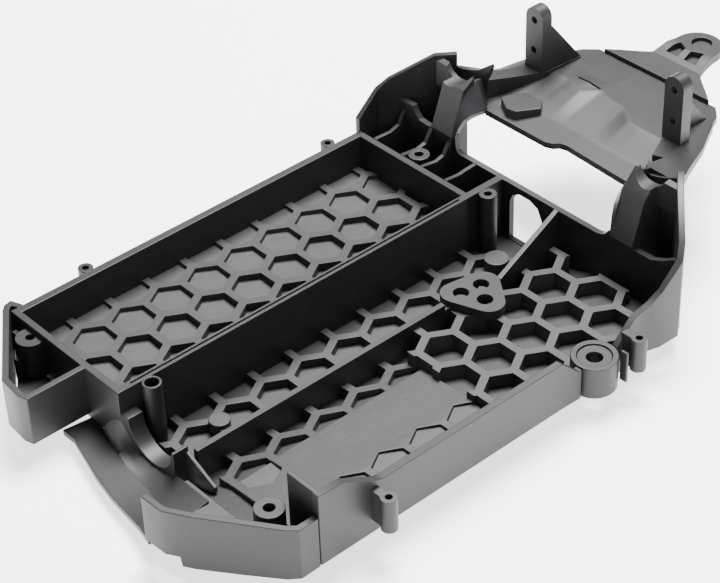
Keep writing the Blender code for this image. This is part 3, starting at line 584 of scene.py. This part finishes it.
def build_rear_boxes():
    left = [
        (-69.7, 4.9), (-74.0, 3.2), (-73.4, 0.2), (-71.3, -1.8),
        (-42.8, -21.5), (-33.1, -22.3), (-29.8, -21.3), (-29.8, -GAP),
    ]
    shell = wall([(x, y, RIM, -5.3) for x, y in left], THIN)
    subtract(shell, box(-OUTER - GAP, -28, -GAP, 20, -20, 30))
    finish(keep_largest(shell), "rear_left_box_wall", "wall")
    base = [(-68.6, -0.4), (-42.0, -18.7), (-33.4, -19.7), (-32.4, -19.2), (-32.4, -0.4)]
    finish(prism_z(base, -5.3, -3.3), "rear_left_box_floor", "floor")
    boss = cylinder(-56.5, -1.8, BOX_BOSS_RADIUS, -3.0, 10.5)
    unite(boss, box(-57.4, -55.6, -8.2, -3.0, -2.9, 5.0), box(-65.6, -59.0, -2.7, -1.0, -2.8, 8.0))
    subtract(boss, box(-80, -30, -GAP, 20, -20, 30), cylinder(-56.5, -1.8, SCREW_RADIUS, 0, 20))
    finish(boss, "rear_left_boss", "wall")

    right = [
        (27.6, -22.4, -4.2), (36.4, -22.0, -4.2), (40.4, -19.7, -4.2), (40.8, -19.5, -7.8),
        (44.2, -17.5, -7.8), (56.0, -9.2, -7.4), (66.4, -2.0, -6.6), (OUTER, 1.1, -6.2),
        (OUTER, 8.1, -6.0),
    ]
    shell = wall([(x, y, RIM, low) for x, y, low in right], THIN)
    finish(shell, "rear_right_box_wall", "wall")
    base = [
        (27.8, -19.6), (35.4, -19.3), (42.4, -15.2), (54.3, -6.8), (64.4, 0.2), (66.2, 2.4),
        (15.6, 2.4), (15.6, 0.6), (27.8, 0.6),
    ]
    finish(prism_z(base, -6.6, -4.4), "rear_right_box_floor", "floor")
    boss = cylinder(54.5, 2.5, BOX_BOSS_RADIUS, -4.1, 10.5)
    unite(boss, box(53.6, 55.4, -7.0, 0, -4.1, 7.0))
    subtract(boss, wall([(27, -28, 30, -30), (70, 2.6, 30, -30)], 4.0))
    subtract(boss, cylinder(54.5, 2.5, 1.7, 0, 20))
    finish(boss, "rear_right_boss", "wall")


def build_rear_cradle():
    u_radius = 10.5
    notch = arc(1.0, 4.6, u_radius, 180, 360, 18)
    right_end = 12.6
    outline = [(DIVIDER_RIGHT + GAP, KEEL_FLOOR + GAP), (right_end, KEEL_FLOOR + GAP), (right_end, 4.6)]
    outline += list(reversed(notch))
    outline += [(DIVIDER_RIGHT + GAP, 4.6)]
    finish(prism_y(outline, 0.2, 6.0), "rear_saddle", "wall")
    gusset = [(right_end + GAP, 3.0), (25.4, -3.4), (25.4, -5.6), (15.6, -8.9), (right_end + GAP, -8.9)]
    finish(prism_y(gusset, 4.9, 6.2), "saddle_gusset", "wall")
    lip = [
        ((-31.5, -9.8, -7.2), (-30.2, -GAP, -7.2)),
        ((-25.4, -9.8, -7.2), (-25.2, -GAP, -7.2)),
        ((-16.5, -12.3, -7.4), (-17.4, -2.5 - GAP, -7.4)),
        ((-7.0, -14.9, -7.5), (-8.1, -4.9 - GAP, -7.5)),
        ((3.5, -16.9, -7.5), (3.6, -6.9 - GAP, -7.5)),
        ((13.0, -18.1, -7.2), (13.6, -8.1 - GAP, -7.2)),
        ((20.5, -19.6, -6.0), (20.5, -9.7 - GAP, -6.0)),
        ((27.6 - GAP, -21.9, -4.4), (27.6 - GAP, -11.9 - GAP, -4.4)),
    ]
    finish(sheet(lip, THIN), "rear_lip", "wall")
    rims = [(-20.0, -3.0), (-13.6, 4.4), (-11.4, 1.0), (-8.6, -3.0), (-4.0, -6.0), (1.0, -7.0), (6.2, -6.0),
            (10.6, -4.2), (14.4, -3.4), (20.4, -3.4), (27.6 - GAP, -3.4)]
    feet = [(-22.0, -1.0, -7.0), (-17.4, -2.1, -7.0), (-14.4, -3.0, -7.2), (-10.4, -4.2, -7.3),
            (-4.6, -5.6, -7.5), (1.0, -6.6, -7.6), (6.6, -7.3, -7.5), (11.4, -7.8, -7.2),
            (14.6, -8.2, -7.0), (20.4, -9.7, -5.6), (27.6 - GAP, -11.9, -4.2)]
    finish(scoop_shell(rims, feet), "rear_scoop", "wall")


def scoop_shell(rims, feet):
    """Concave shell that drops from the saddle's rear face to the inner edge of the lip."""
    sections = []
    for (rx, rz), (fx, fy, fz) in zip(rims, feet):
        lean = rx - 1.0 if rx < 14.0 else 0.0
        away = Vector((lean, 0.0, rz - 12.0)).normalized() * 1.6
        crest = Vector((rx, -GAP, rz))
        foot = Vector((fx, fy, fz))
        middle = (crest + foot) / 2 + away * 0.5
        sections.append((crest, middle, foot, foot + away, middle + away, crest + away))
    return loft(sections)


# ---------------------------------------------------------------- front end
def front_wall_path():
    """Outer face of the right front wall, from the side wall round to the saddle."""
    return [
        (OUTER, 131.1 + GAP, 5.0, -6.2), (OUTER, 138.6, 12.6, -5.6), (69.6, 145.0, 14.0, -4.5),
        (71.0, 149.0, 18.0, -4.4), (71.3, 157.4, 25.6, -4.4), (68.5, 161.3, 29.6, -4.4),
        (57.0, 172.8, 39.3, -4.4), (51.8, 178.8, 39.6, 10.0),
    ]


def front_wall_clearance(side):
    """Solid that trims a neighbour to stand a parting gap inside the front wall."""
    path = [(x, y, 80.0, -40.0) for x, y, _, _ in front_wall_path()[3:]]
    path.append((49.2, 181.8, 80.0, -40.0))
    if side < 0:
        path = [(-x, y, top, low) for x, y, top, low in reversed(path)]
    return wall(path, FRONT_WALL + GAP)


def build_front_side(side, label):
    """The wall, tower, cheek, saddle, arm and post of one side; side is 1 on the right."""
    build_front_wall(side, label)
    build_tower(side, label)
    build_cheek(side, label)
    build_saddle(side, label)
    build_arm(side, label)
    build_post(side, label)


def run_x(outline, side, w_low, w_high):
    """Side outline run between two distances from the centre line, on one side of it."""
    low, high = sorted((side * w_low, side * w_high))
    return prism_x(outline, low, high)


def build_front_wall(side, label):
    path = front_wall_path()
    if side < 0:
        path = [(71.0, BAY_FRONT + WALL + GAP, 17.6, -4.5)] + path[4:]
        path = [(-x, y, top, low) for x, y, top, low in reversed(path)]
    finish(wall(path, FRONT_WALL), label + "_front_wall", "wall")


def notch_cutter(side, y_low, y_high):
    x, z = SADDLE_NOTCH
    return prism_y(circle(side * x, z, SADDLE_NOTCH_RADIUS, 32), y_low, y_high)


def build_tower(side, label):
    """Sloping buttress, with the plates behind it that close the pocket in front of the cross wall."""
    rear = CROSS_FRONT + GAP
    front = 177.0
    top = SADDLE_BOTTOM - GAP
    saddle = SADDLE_REAR - GAP
    sill = TOWER_SILL[side] + GAP
    tower = run_x([(161.4, sill), TOWER_BEVEL[side], (saddle, 37.8), (saddle, 31.4), (168.9, 29.0),
                   (164.0, sill)], side, TOWER_INNER, TOWER_OUTER)
    flank = run_x([(rear, -6.2), (front, -6.2), (front, top), (saddle, top), (saddle, 33.0),
                   (167.2, 30.4), (rear, 23.0)], side, TOWER_OUTER - 2.0, TOWER_OUTER)
    back = run_x([(front - 2.0, -6.2), (front, -6.2), (front, top), (front - 2.0, top)],
                 side, TOWER_OUTER - 1.0, 62.0)
    base = run_x([(rear, -6.2), (front, -6.2), (front, -4.2), (rear, -4.2)], side, TOWER_OUTER - 1.0, 72.0)
    unite(tower, flank, back, base)
    subtract(tower, front_wall_clearance(side), notch_cutter(side, 150.0, 190.0))
    finish(keep_largest(tower), label + "_tower", "front")


def build_cheek(side, label):
    """Fairing from the tower's inner edge down to the edge of the window."""
    inner = TOWER_INNER - GAP
    sill = TOWER_SILL[side] + 0.1 + GAP
    rails = [
        ((161.9, sill), (36.0, 162.6, sill)),
        ((163.2, 23.4), (35.6, 163.5, 22.0)),
        ((164.6, 27.4), (34.8, 165.1, 24.8)),
        ((166.8, 31.8), (33.8, 167.5, 26.2)),
        ((169.6, 35.4), (32.6, 170.4, 26.9)),
        ((173.5 - GAP, 36.4), (31.6, 173.5 - GAP, 27.2)),
    ]
    sections = []
    for index, ((y, z), (wx, wy, wz)) in enumerate(rails):
        back = 2.2 if index < 4 else (1.3 if index == 4 else 0.0)
        drop = 0.0 if index == 0 else 2.4
        sections.append((
            (side * inner, y, z), (side * wx, wy, wz),
            (side * (wx + 0.8), wy + back, wz - drop), (side * inner, y + back, z - drop),
        ))
    finish(loft(sections), label + "_window_cheek", "front")


# Crest of each saddle's front rib as (distance from the centre line, z); the two sides differ.
FRONT_RIB_CREST = {
    1: [(50.0, 36.8), (46.0, 34.8), (42.7, 33.6), (39.3, 32.8), (36.7, 32.8), (35.0, 33.5), (33.6, 33.6),
        (33.3, 31.6)],
    -1: [(53.0, 36.5), (51.5, 35.1), (49.5, 34.7), (47.0, 35.0), (43.6, 36.1), (39.7, 37.8), (36.3, 40.4),
         (34.0, 42.2), (33.4, 41.2), (35.4, 36.0)],
}


def build_saddle(side, label):
    """A rear rib with a round notch, a lower web, and a front rib with a crest of its own."""
    low, high = sorted((side * SADDLE_INNER, side * 60.0))
    front_rib = SADDLE_FRONT - 1.7
    saddle = box(low, high, SADDLE_REAR, SADDLE_FRONT, SADDLE_BOTTOM, 40.0)
    subtract(saddle, notch_cutter(side, 160.0, 190.0))
    subtract(saddle, box(low - 1, high + 1, SADDLE_REAR + 1.9, front_rib, 31.2, 60.0))
    slope = [(SADDLE_REAR - 1, 37.0), (SADDLE_REAR - 1, 60.0), (SADDLE_FRONT + 1, 60.0),
             (SADDLE_FRONT + 1, 40.6)]
    subtract(saddle, prism_x(slope, low - 1, high + 1))
    subtract(saddle, box(low - 1, high + 1, front_rib, SADDLE_FRONT + 1, 30.0, 60.0))
    crest = [(60.0, 28.0), (60.0, 36.8)] + FRONT_RIB_CREST[side] + [(38.4, 31.4), (38.4, 28.0)]
    unite(saddle, prism_y([(side * x, z) for x, z in crest], front_rib, SADDLE_FRONT))
    subtract(saddle, front_wall_clearance(side))
    finish(keep_largest(saddle), label + "_saddle", "front")


def arm_inner_edge():
    """Edge between the deck and the right arm, from the window to the nose step."""
    return [(31.6, 173.5), (36.2, 178.6), (26.8, 198.3), (27.0, 215.0)]


def build_arm(side, label):
    edge = arm_inner_edge()
    plan = edge[1:] + [(33.4, 215.0), (40.2, 202.0), (43.6, 191.4), (50.2, SADDLE_FRONT + GAP),
                       (36.3, SADDLE_FRONT + GAP)]
    arm = prism_z([(side * x, y) for x, y in plan], 20.0, 60.0)
    stations = [
        (176.0, 34.8, (44.0, 34.8), (56.0, 34.8), 28.0, 24.8),
        (SADDLE_FRONT, 34.6, (42.0, 34.6), (52.0, 34.4), 28.0, 24.8),
        (191.4, 34.0, (36.6, 33.8), (46.0, 29.6), 27.8, 26.2),
        (198.3, 33.7, (36.4, 33.6), (43.0, 30.8), 28.8, 27.8),
        (202.0, 33.5, (36.0, 33.5), (42.0, 31.0), 29.2, 30.2),
        (218.0, 32.6, (31.0, 32.5), (38.0, 30.2), 28.8, 30.0),
    ]
    sections = []
    for y, rim, (mid, mid_z), (out, out_z), out_low, rim_low in stations:
        ring = [(20.0, rim), (mid, mid_z), (out, out_z), (out, out_low), (20.0, rim_low)]
        sections.append([(side * x, y, z) for x, z in ring])
    intersect(arm, loft(sections))
    flare = []
    near = SADDLE_INNER - GAP
    for (x, y), foot, crest in zip([edge[0], (33.9, 176.0), (36.2, 178.5), (36.0, 179.6)],
                                   (27.2, 27.4, 27.8, 27.9), (36.0, 35.4, 34.7, 34.5)):
        ring = [(x, foot), (near - 1.1, crest), (near, crest), (near, 25.0), (x, 25.0)]
        flare.append([(side * px, y, pz) for px, pz in ring])
    unite(arm, loft(flare))
    if side > 0:
        subtract(arm, prism_z([(31.8, 184.2), (36.2, 180.8), (37.0, 186.2)], 32.0, 60.0))
    finish(arm, label + "_deck_arm", "front")


def build_post(side, label):
    x = side * POST_X
    foot = 33.7 + GAP
    profile = [(x - POST_HALF_WIDTH, foot), (x + POST_HALF_WIDTH, foot)]
    profile += arc(x, POST_TOP - POST_HALF_WIDTH, POST_HALF_WIDTH, 0, 180, 12)
    post = prism_y(profile, POST_REAR, POST_FRONT)
    web = [(POST_FRONT - 1, foot), (POST_FRONT - 1, 51.0), (POST_FRONT, 51.0), (215.6, foot - 0.9)]
    inner, outer = x - side * POST_HALF_WIDTH, x - side * (POST_HALF_WIDTH - 2.6)
    unite(post, prism_x(web, min(inner, outer), max(inner, outer)))
    for height in (53.2, 41.5):
        subtract(post, prism_y(circle(x, height, 1.3, 12), 190, 230))
    finish(post, label + "_post", "front")


def build_front_pocket():
    """Ribbed pocket between the battery bay and the left tower."""
    rear = BAY_FRONT + WALL + GAP
    front = CROSS_REAR - GAP
    low = -4.2 + GAP
    floor = box(-66.9 - GAP, DIVIDER_LEFT - GAP, rear, front, -6.2, -4.2)
    subtract(floor, front_wall_clearance(-1))
    finish(keep_largest(floor), "front_pocket_floor", "floor")
    crests = [
        (-62.0, [(148.6, 12.5), (155.8, 12.2), (159.6, 13.4), (161.0, 16.0), (front, 19.0)]),
        (-48.0, [(148.6, 12.5), (155.8, 11.6), (159.4, 12.4), (161.0, 15.0), (front, 18.0)]),
        (-38.2, [(148.6, 12.5), (155.3, 11.4), (158.6, 12.3), (160.6, 15.5), (front, 18.1)]),
        (-26.4, [(148.6, 12.5), (154.7, 11.9), (159.0, 12.3), (front, 12.5)]),
    ]
    for number, (x, crest) in enumerate(crests, 1):
        ridge = [(max(y, rear), z) for y, z in crest]
        outline = [(rear, low), (front, low)] + list(reversed(ridge))
        rib = prism_x(outline, x - 0.8, x + 0.8)
        subtract(rib, cylinder(*POCKET_BOSS, POCKET_BOSS_RADIUS + GAP, -20, 40))
        finish(keep_largest(rib), "pocket_rib_%d" % number, "wall")
    boss = cylinder(*POCKET_BOSS, POCKET_BOSS_RADIUS, low, 11.8)
    subtract(boss, box(-60, -30, 140, rear, -20, 30), cylinder(*POCKET_BOSS, SCREW_RADIUS, 0, 20))
    finish(boss, "front_left_boss", "wall")


def build_cross_wall():
    """Wall ahead of all three bays, whose top edge curls up to the towers at both ends."""
    right = [(30.4, RIM), (32.6, 13.2), (34.2, 14.4), (35.4, 16.1), (46.6, 16.1)]
    right += [(46.6, 14.2), (54.0, 14.2), (59.0, 16.4), (62.6, 18.8), (66.6, 19.6)]
    left = [(33.6, RIM), (35.2, 13.3), (35.8, 15.2), (36.0, 17.4), (36.1, 19.2), (46.6, 19.2)]
    left += [(46.6, 17.8), (50.0, 17.2), (54.0, 17.6), (56.0, 19.6), (57.0, 22.0), (66.6, 22.0)]
    outline = [(-66.6, -6.2), (DIVIDER_RIGHT, -6.2), (DIVIDER_RIGHT, KEEL_BOTTOM),
               (KEEL_RIGHT, KEEL_BOTTOM), (KEEL_RIGHT, -11.6), (28.0, -7.4), (66.6, -6.6)]
    outline += list(reversed(right)) + [(-x, z) for x, z in left]
    cross = prism_y(outline, CROSS_REAR, CROSS_FRONT)
    subtract(cross, front_wall_clearance(1), front_wall_clearance(-1))
    keep_largest(cross)
    opening = [(-9.3, -10.2), (6.0, -10.2), (6.2, 3.4), (3.6, 8.6), (0.0, 10.2), (-4.8, 10.2),
               (-8.0, 8.4), (-9.3, 5.4)]
    subtract(cross, prism_y(opening, CROSS_REAR - 5, CROSS_FRONT + 5))
    finish(cross, "cross_wall", "wall")


DECK_CREASE = 184.0             # where the deck starts to climb
DECK_RIDGE = [
    (-40.0, 200.0), (-29.4, 200.0), (-26.5, 201.2), (-20.0, 201.1), (-16.8, 199.5), (-11.7, 198.2),
    (-8.9, 200.4), (-6.6, 202.8), (2.9, 201.5), (6.7, 200.6), (12.4, 196.2), (18.5, 195.4), (40.0, 195.4),
]


def deck_height(x, y):
    """Top of the deck: a shallow tray, a faceted climb to a crooked ridge, and a flat top."""
    if y < DECK_CREASE:
        return 26.7 + 0.09 * (y - 170.0)
    ridge = floor_line(x, DECK_RIDGE)
    if y < ridge:
        return 27.96 + 4.5 * (y - DECK_CREASE) / (ridge - DECK_CREASE)
    lift = 0.7 * max(0.0, 1.0 - abs(x + 13.0) / 8.0) * max(0.0, 1.0 - abs(y - 204.0) / 5.0)
    return 32.5 - 0.03 * (y - ridge) + lift


def deck_slab():
    """Fine grid over the deck with a matching underside."""
    spacing = 0.75
    column_count = 113
    row_count = 74
    columns = [-42.0 + spacing * i for i in range(column_count)]
    rows = [171.0 + spacing * i for i in range(row_count)]
    bm = bmesh.new()
    top = [[bm.verts.new((x, y, deck_height(x, y))) for x in columns] for y in rows]
    low = [[bm.verts.new((v.co.x, v.co.y, v.co.z - THIN)) for v in row] for row in top]
    for j in range(row_count - 1):
        for i in range(column_count - 1):
            bm.faces.new((top[j][i], top[j][i + 1], top[j + 1][i + 1], top[j + 1][i]))
            bm.faces.new((low[j][i], low[j + 1][i], low[j + 1][i + 1], low[j][i + 1]))
    border = top[0] + [row[-1] for row in top[1:]] + top[-1][-2::-1] + [row[0] for row in top[-2:0:-1]]
    below = low[0] + [row[-1] for row in low[1:]] + low[-1][-2::-1] + [row[0] for row in low[-2:0:-1]]
    for i in range(len(border)):
        j = (i + 1) % len(border)
        bm.faces.new((border[i], below[i], below[j], border[j]))
    return to_object(bm)


def build_deck():
    """Deck recessed between the arms, and its pointed block."""
    edge = [(x - GAP, y) for x, y in arm_inner_edge()]
    edge[-1] = (edge[-1][0], 215.0 + GAP)
    ahead = [(33.2, 215.0 + GAP), (30.8, 220.0), (26.6, STEP_FRONT)]
    rear_edge = [(-4.0, 173.3), (-1.2, 174.2), (0.6, 176.0), (3.4, 176.6), (27.6, 175.4)]
    half = edge + ahead
    left_half = [(-edge[0][0], 173.3)] + [(-x, y) for x, y in half[1:]]
    right_half = [(edge[0][0] + 1.2, 175.2)] + half[1:]
    plan = rear_edge + right_half + list(reversed(left_half))
    deck = deck_slab()
    intersect(deck, prism_z(plan, 0.0, 60.0))
    groove = wall([(-18.0, 204.0, 40.0, 31.8), (-7.6, 203.6, 40.0, 31.6)], 0.9)
    subtract(deck, groove)
    finish(deck, "front_deck", "front", FINE_EDGE)
    block = [(-29.8, 178.4), (-24.0, 175.0), (-20.2, 175.6), (-15.4, 183.2), (-18.4, 187.0), (-26.0, 187.0),
             (-29.6, 180.6)]
    stone = intersect(prism_z(block, 20.0, 30.6), prism_x([(170.0, 26.7 + GAP), (184.0, 28.0 + GAP),
                      (188.0, 29.0 + GAP), (188.0, 40.0), (170.0, 40.0)], -40.0, 0.0))
    finish(stone, "deck_block", "front")


def build_nose():
    """Flat plate ahead of the deck's step, and the rounded tab at its tip."""
    join = 234.4
    flank = [(24.0, STEP_FRONT + GAP), (18.6, 228.0), (14.6, 231.0), (12.0, 233.2), (11.0, join)]
    plate = prism_z(flank + [(-x, y) for x, y in reversed(flank)], 31.2, 33.5)
    finish(plate, "nose_plate", "front")
    side = [(10.9, join + GAP), (9.8, 238.0), (8.7, 244.0)]
    tip = side + arc(0.0, NOSE_TIP - 8.6, 8.6, 4, 176, 14) + [(-x, y) for x, y in reversed(side)]
    tab = prism_z(tip, 20.0, 50.0)
    profile = [(join - 1, 33.3), (239.6, 36.0), (256.0, 36.0), (256.0, 32.8), (240.0, 32.4), (join - 1, 31.2)]
    intersect(tab, prism_x(profile, -20.0, 20.0))
    subtract(tab, cylinder(0.0, 247.4, 3.5, 34.4, 40.0))
    for sign in (-1, 1):
        pocket = [(sign * 1.5, 236.4), (sign * 6.6, 236.4), (sign * 5.4, 242.4), (sign * 1.5, 240.6)]
        subtract(tab, prism_z(pocket, 33.6, 40.0))
    finish(tab, "nose_tab", "front")


# ---------------------------------------------------------------- stage
CAMERA_PLACE = (409.03, -264.82, 424.16)     # millimetres; the angles are degrees
CAMERA_YAW = 49.38
CAMERA_PITCH = 37.37
CAMERA_ROLL = -2.16
CAMERA_LENS = 107.05
CAMERA_SENSOR = 36.0


def build_camera():
    data = bpy.data.cameras.new("camera")
    data.lens = CAMERA_LENS
    data.sensor_width = CAMERA_SENSOR
    data.sensor_fit = "HORIZONTAL"
    data.clip_start = 0.01
    camera = bpy.data.objects.new("camera", data)
    bpy.context.scene.collection.objects.link(camera)
    yaw, pitch, roll = (math.radians(a) for a in (CAMERA_YAW, CAMERA_PITCH, CAMERA_ROLL))
    back = Vector((math.sin(yaw) * math.cos(pitch), -math.cos(yaw) * math.cos(pitch), math.sin(pitch)))
    level = Vector((math.cos(yaw), math.sin(yaw), 0.0))
    rise = back.cross(level)
    right = math.cos(roll) * level + math.sin(roll) * rise
    up = math.cos(roll) * rise - math.sin(roll) * level
    turn = Matrix((right, up, back)).transposed().to_4x4()
    camera.matrix_world = Matrix.Translation(SHIFT + Vector(CAMERA_PLACE) * MM) @ turn
    bpy.context.scene.camera = camera


def add_light(name, place, target, size, power, colour=(1.0, 1.0, 1.0)):
    data = bpy.data.lights.new(name, "AREA")
    data.shape = "DISK"
    data.size = size
    data.energy = power
    data.color = colour
    light = bpy.data.objects.new(name, data)
    bpy.context.scene.collection.objects.link(light)
    light.location = place
    light.rotation_euler = (Vector(target) - Vector(place)).to_track_quat("-Z", "Y").to_euler()


def build_studio():
    bpy.ops.mesh.primitive_plane_add(size=8.0, location=(0.0, 0.0, -0.0004))
    floor = bpy.context.object
    floor.name = "studio_floor"
    material = bpy.data.materials.new("pale_paper")
    material.use_nodes = True
    shader = material.node_tree.nodes["Principled BSDF"]
    shader.inputs["Base Color"].default_value = (0.93, 0.93, 0.93, 1.0)
    shader.inputs["Roughness"].default_value = 0.9
    shader.inputs["Emission Color"].default_value = (1.0, 1.0, 1.0, 1.0)
    shader.inputs["Emission Strength"].default_value = 1.9
    floor.data.materials.append(material)
    world = bpy.data.worlds.new("studio")
    world.use_nodes = True
    background = world.node_tree.nodes["Background"]
    background.inputs["Color"].default_value = (1.0, 1.0, 1.0, 1.0)
    background.inputs["Strength"].default_value = 0.28
    bpy.context.scene.world = world
    add_light("overhead", (-0.15, 0.25, 0.95), (0.0, 0.0, 0.0), 0.55, 46.0)
    add_light("right_fill", (0.9, -0.5, 0.45), (0.0, 0.0, 0.03), 0.9, 5.0, (0.80, 0.79, 1.0))


# ---------------------------------------------------------------- assembly
build_camera()
build_battery_bay()
build_keel()
build_right_bay()
build_centre_divider()
build_right_side()
build_lugs()
build_rear_boxes()
build_rear_cradle()
build_cross_wall()
build_front_pocket()
build_front_side(1, "right")
build_front_side(-1, "left")
build_deck()
build_nose()
build_studio()
